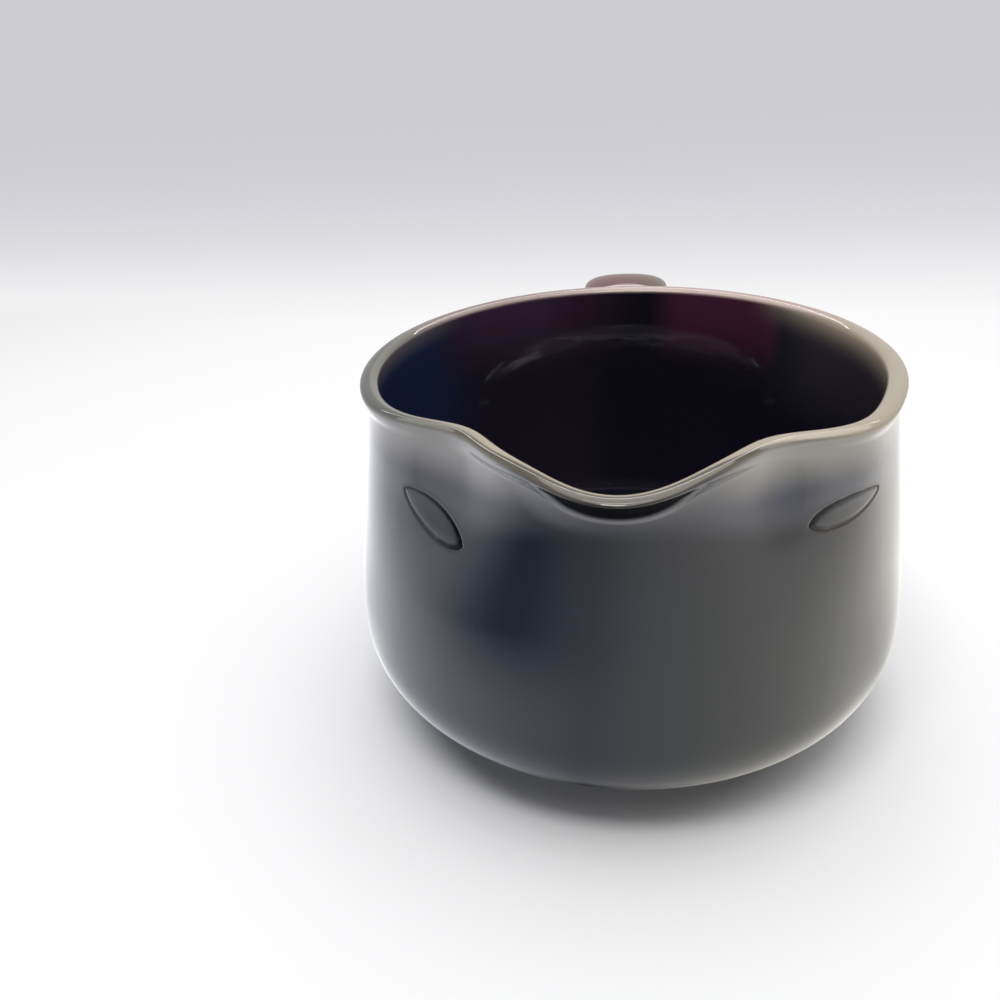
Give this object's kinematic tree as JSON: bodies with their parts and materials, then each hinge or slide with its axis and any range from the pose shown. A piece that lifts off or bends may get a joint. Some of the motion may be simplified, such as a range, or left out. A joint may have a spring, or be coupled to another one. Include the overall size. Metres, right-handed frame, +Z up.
{
  "type": "creamer",
  "caption": "Small stoneware creamer with a dark gloss glaze, a low round belly, a pinched pouring lip and a strap handle, on a low foot ring.",
  "frame": {"origin": "under the middle of the overall box, in the plane of the foot ring's resting face; the bowl's turning axis is 9.3 mm from it towards the lip", "axes": "+Z up and parallel to the turning axis, -Y towards the pouring lip, +Y towards the handle, +X to the right when facing the lip"},
  "size_m": [0.0912, 0.1182, 0.0623],
  "materials": {
    "clay": "bare fired stoneware, matt and fine grained",
    "black_glaze": "near-black iron glaze, high gloss",
    "rim_glaze": "the same glaze broken thin to olive brown, high gloss",
    "lining_glaze": "near-black iron glaze with dark red breaks, high gloss"
  },
  "bodies": {
    "root": {"bowl": "clay", "foot_ring": "clay", "handle": "clay", "handle_joint_upper": "black_glaze", "handle_joint_lower": "black_glaze", "glaze_outside": "black_glaze", "glaze_mark_left": "black_glaze", "glaze_mark_right": "black_glaze", "glaze_rim": "rim_glaze", "glaze_inside": "lining_glaze", "glaze_handle": "black_glaze", "glaze_well": "black_glaze"}
  },
  "joints": []
}
